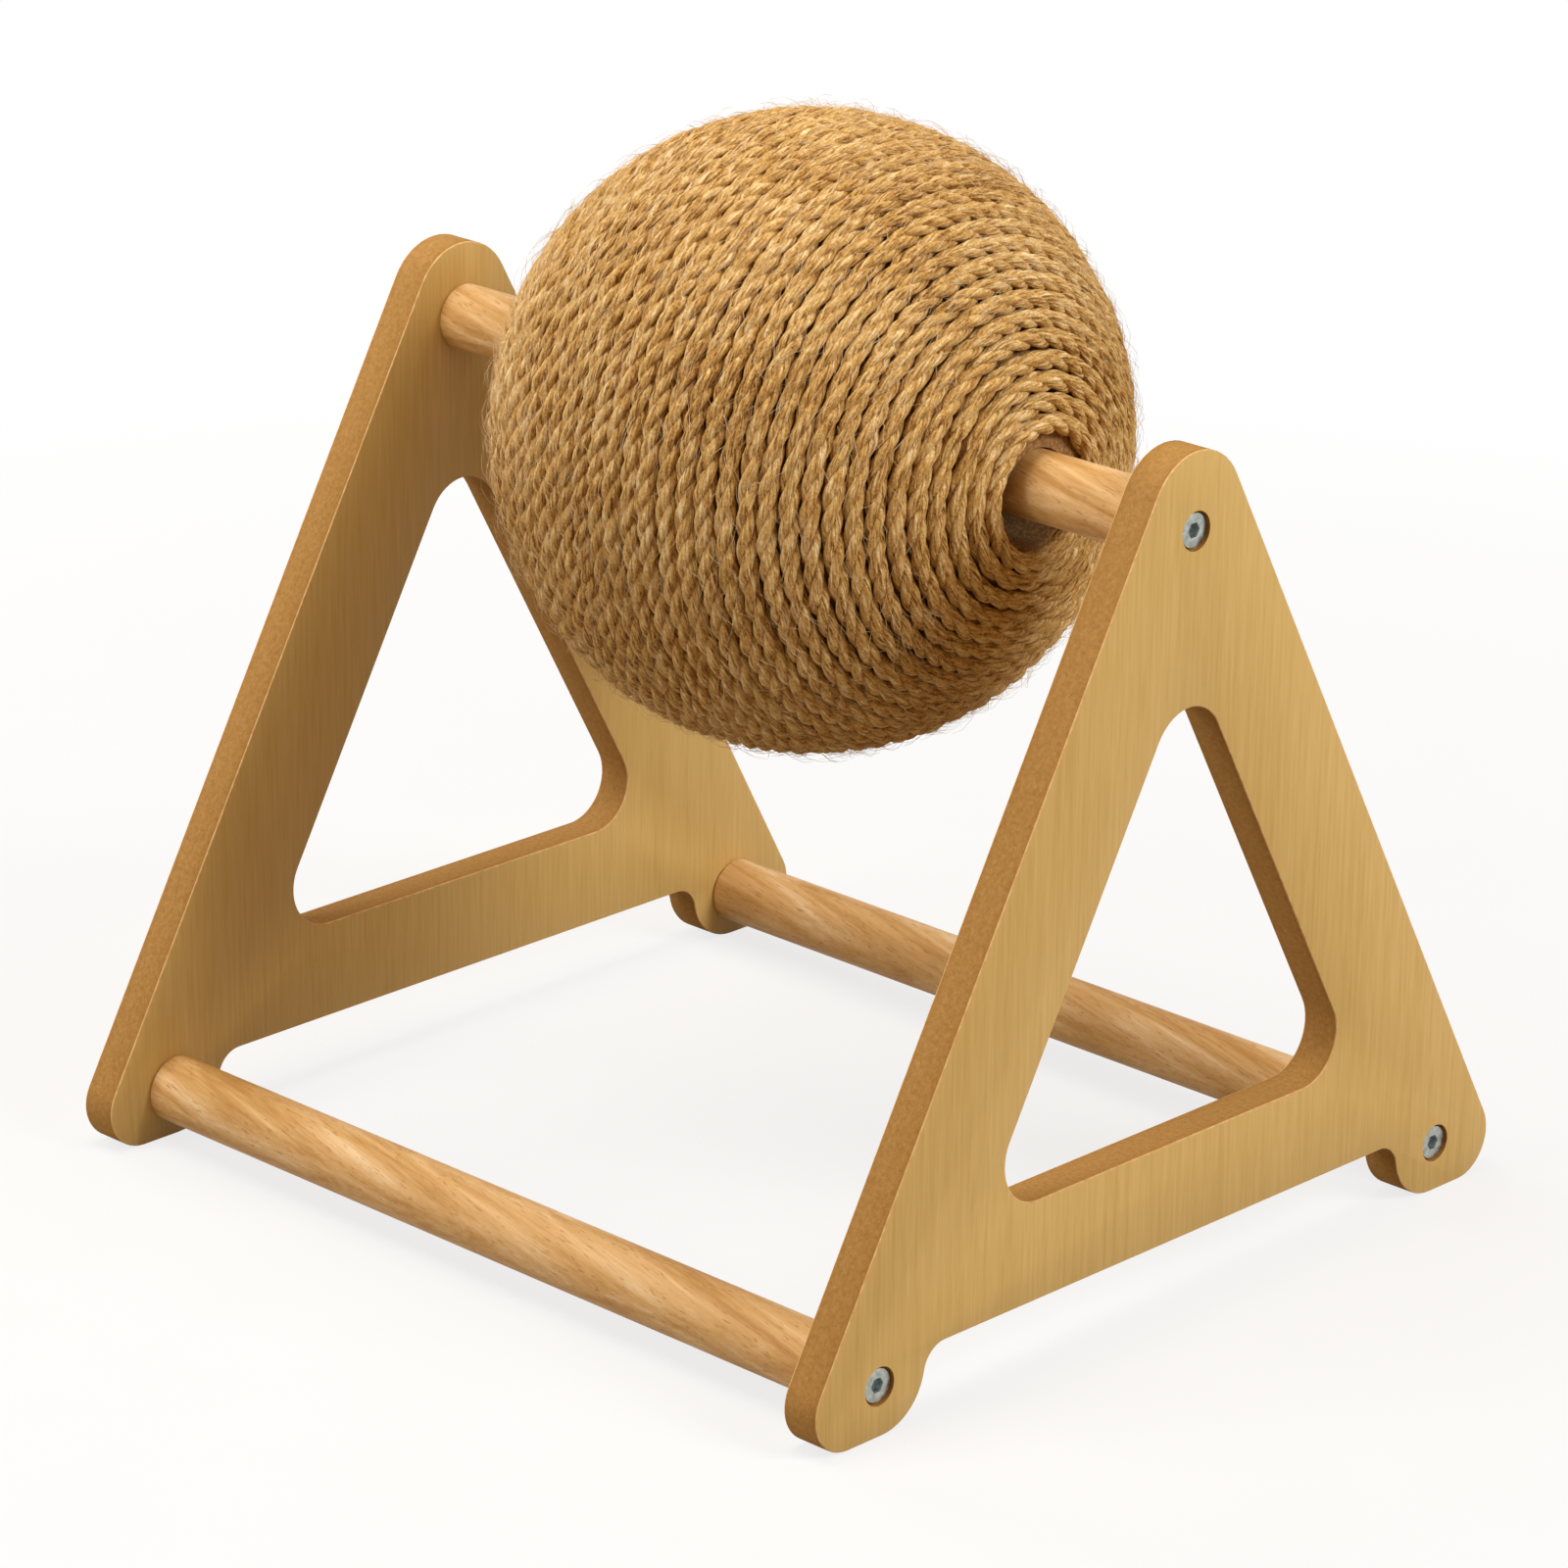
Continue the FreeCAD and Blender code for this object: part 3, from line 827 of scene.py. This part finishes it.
# %% Floor
FLOOR_HALF = 6.0
shape = bmesh.new()
bmesh.ops.create_grid(shape, x_segments=4, y_segments=4, size=FLOOR_HALF)
mesh = bpy.data.meshes.new("studio_floor")
shape.to_mesh(mesh)
shape.free()
mesh.materials.append(floor_white)
floor = add_object("studio_floor", mesh)
print("floor:", floor.name)

# %% [markdown]
# The room round the floor is white to the camera, so that the horizon doesn't show. To everything
# else it gives a little warm light from all round, as brown walls and furniture do. A black room
# would leave the shaded wood too dark, and white light from all round would make it look grey.

# %% World
ROOM_LIGHT = 0.28
world = bpy.data.worlds.new("studio_room")
world.use_nodes = True
tree = world.node_tree
tree.nodes.clear()
seen = seen_rays(tree)
room_light = add_node(
    tree, "ShaderNodeMapRange", {"Value": seen, "To Min": ROOM_LIGHT, "To Max": 1.0})
room_colour = add_node(
    tree, "ShaderNodeMix", {0: seen, 6: linear("#ffc67a"), 7: linear("#ffffff")},
    data_type="RGBA")
room = add_node(
    tree, "ShaderNodeBackground",
    {"Color": room_colour.outputs[2], "Strength": room_light.outputs[0]})
add_node(tree, "ShaderNodeOutputWorld", {"Surface": room.outputs[0]})
bpy.context.scene.world = world
print("world:", world.name)

# %% [markdown]
# Four softboxes light the object. One on the near side lights the face of the near panel, one on
# the left the rails, the cut edges and the ball's lower half, one on the far side the left limb of
# the ball, and one hangs low overhead, so that the light falls off towards the feet. A sun would
# give hard shadows, and a single lamp would leave half the object black. An area lamp of about
# 9.9 watts, times the square of its distance in metres, gives a white surface that faces it its
# written colour. Each lamp's strength is a share of that level.

# %% Lamps
FULL_LEVEL = math.pi ** 2
LAMP_TARGET = Vector((0.0, 0.0, 0.15))
# Direction from the target, distance and size in metres, and share of the full level.
SOFTBOXES = {
    "near_softbox": ((0.8, 0.25, 0.55), 1.8, 0.7, 0.68),
    "left_softbox": ((-0.25, -0.85, 0.35), 1.8, 0.9, 0.36),
    "far_softbox": ((-0.95, 0.0, 0.25), 1.8, 0.7, 0.5),
    "top_softbox": ((-0.1, -0.3, 0.95), 0.9, 0.5, 0.66),
}
for name, (direction, distance, size, share) in SOFTBOXES.items():
    lamp = bpy.data.lights.new(name, "AREA")
    lamp.shape = "SQUARE"
    lamp.size = size
    lamp.energy = FULL_LEVEL * distance ** 2 * share
    pointing = Vector(direction).normalized()
    add_object(name, lamp).matrix_world = (
        Matrix.Translation(LAMP_TARGET + pointing * distance)
        @ pointing.to_track_quat("Z", "Y").to_matrix().to_4x4()
    )

# %% [markdown]
# A film look would shift the colours, so they are shown as they are.

# %% Finish
bpy.context.scene.view_settings.view_transform = "Standard"
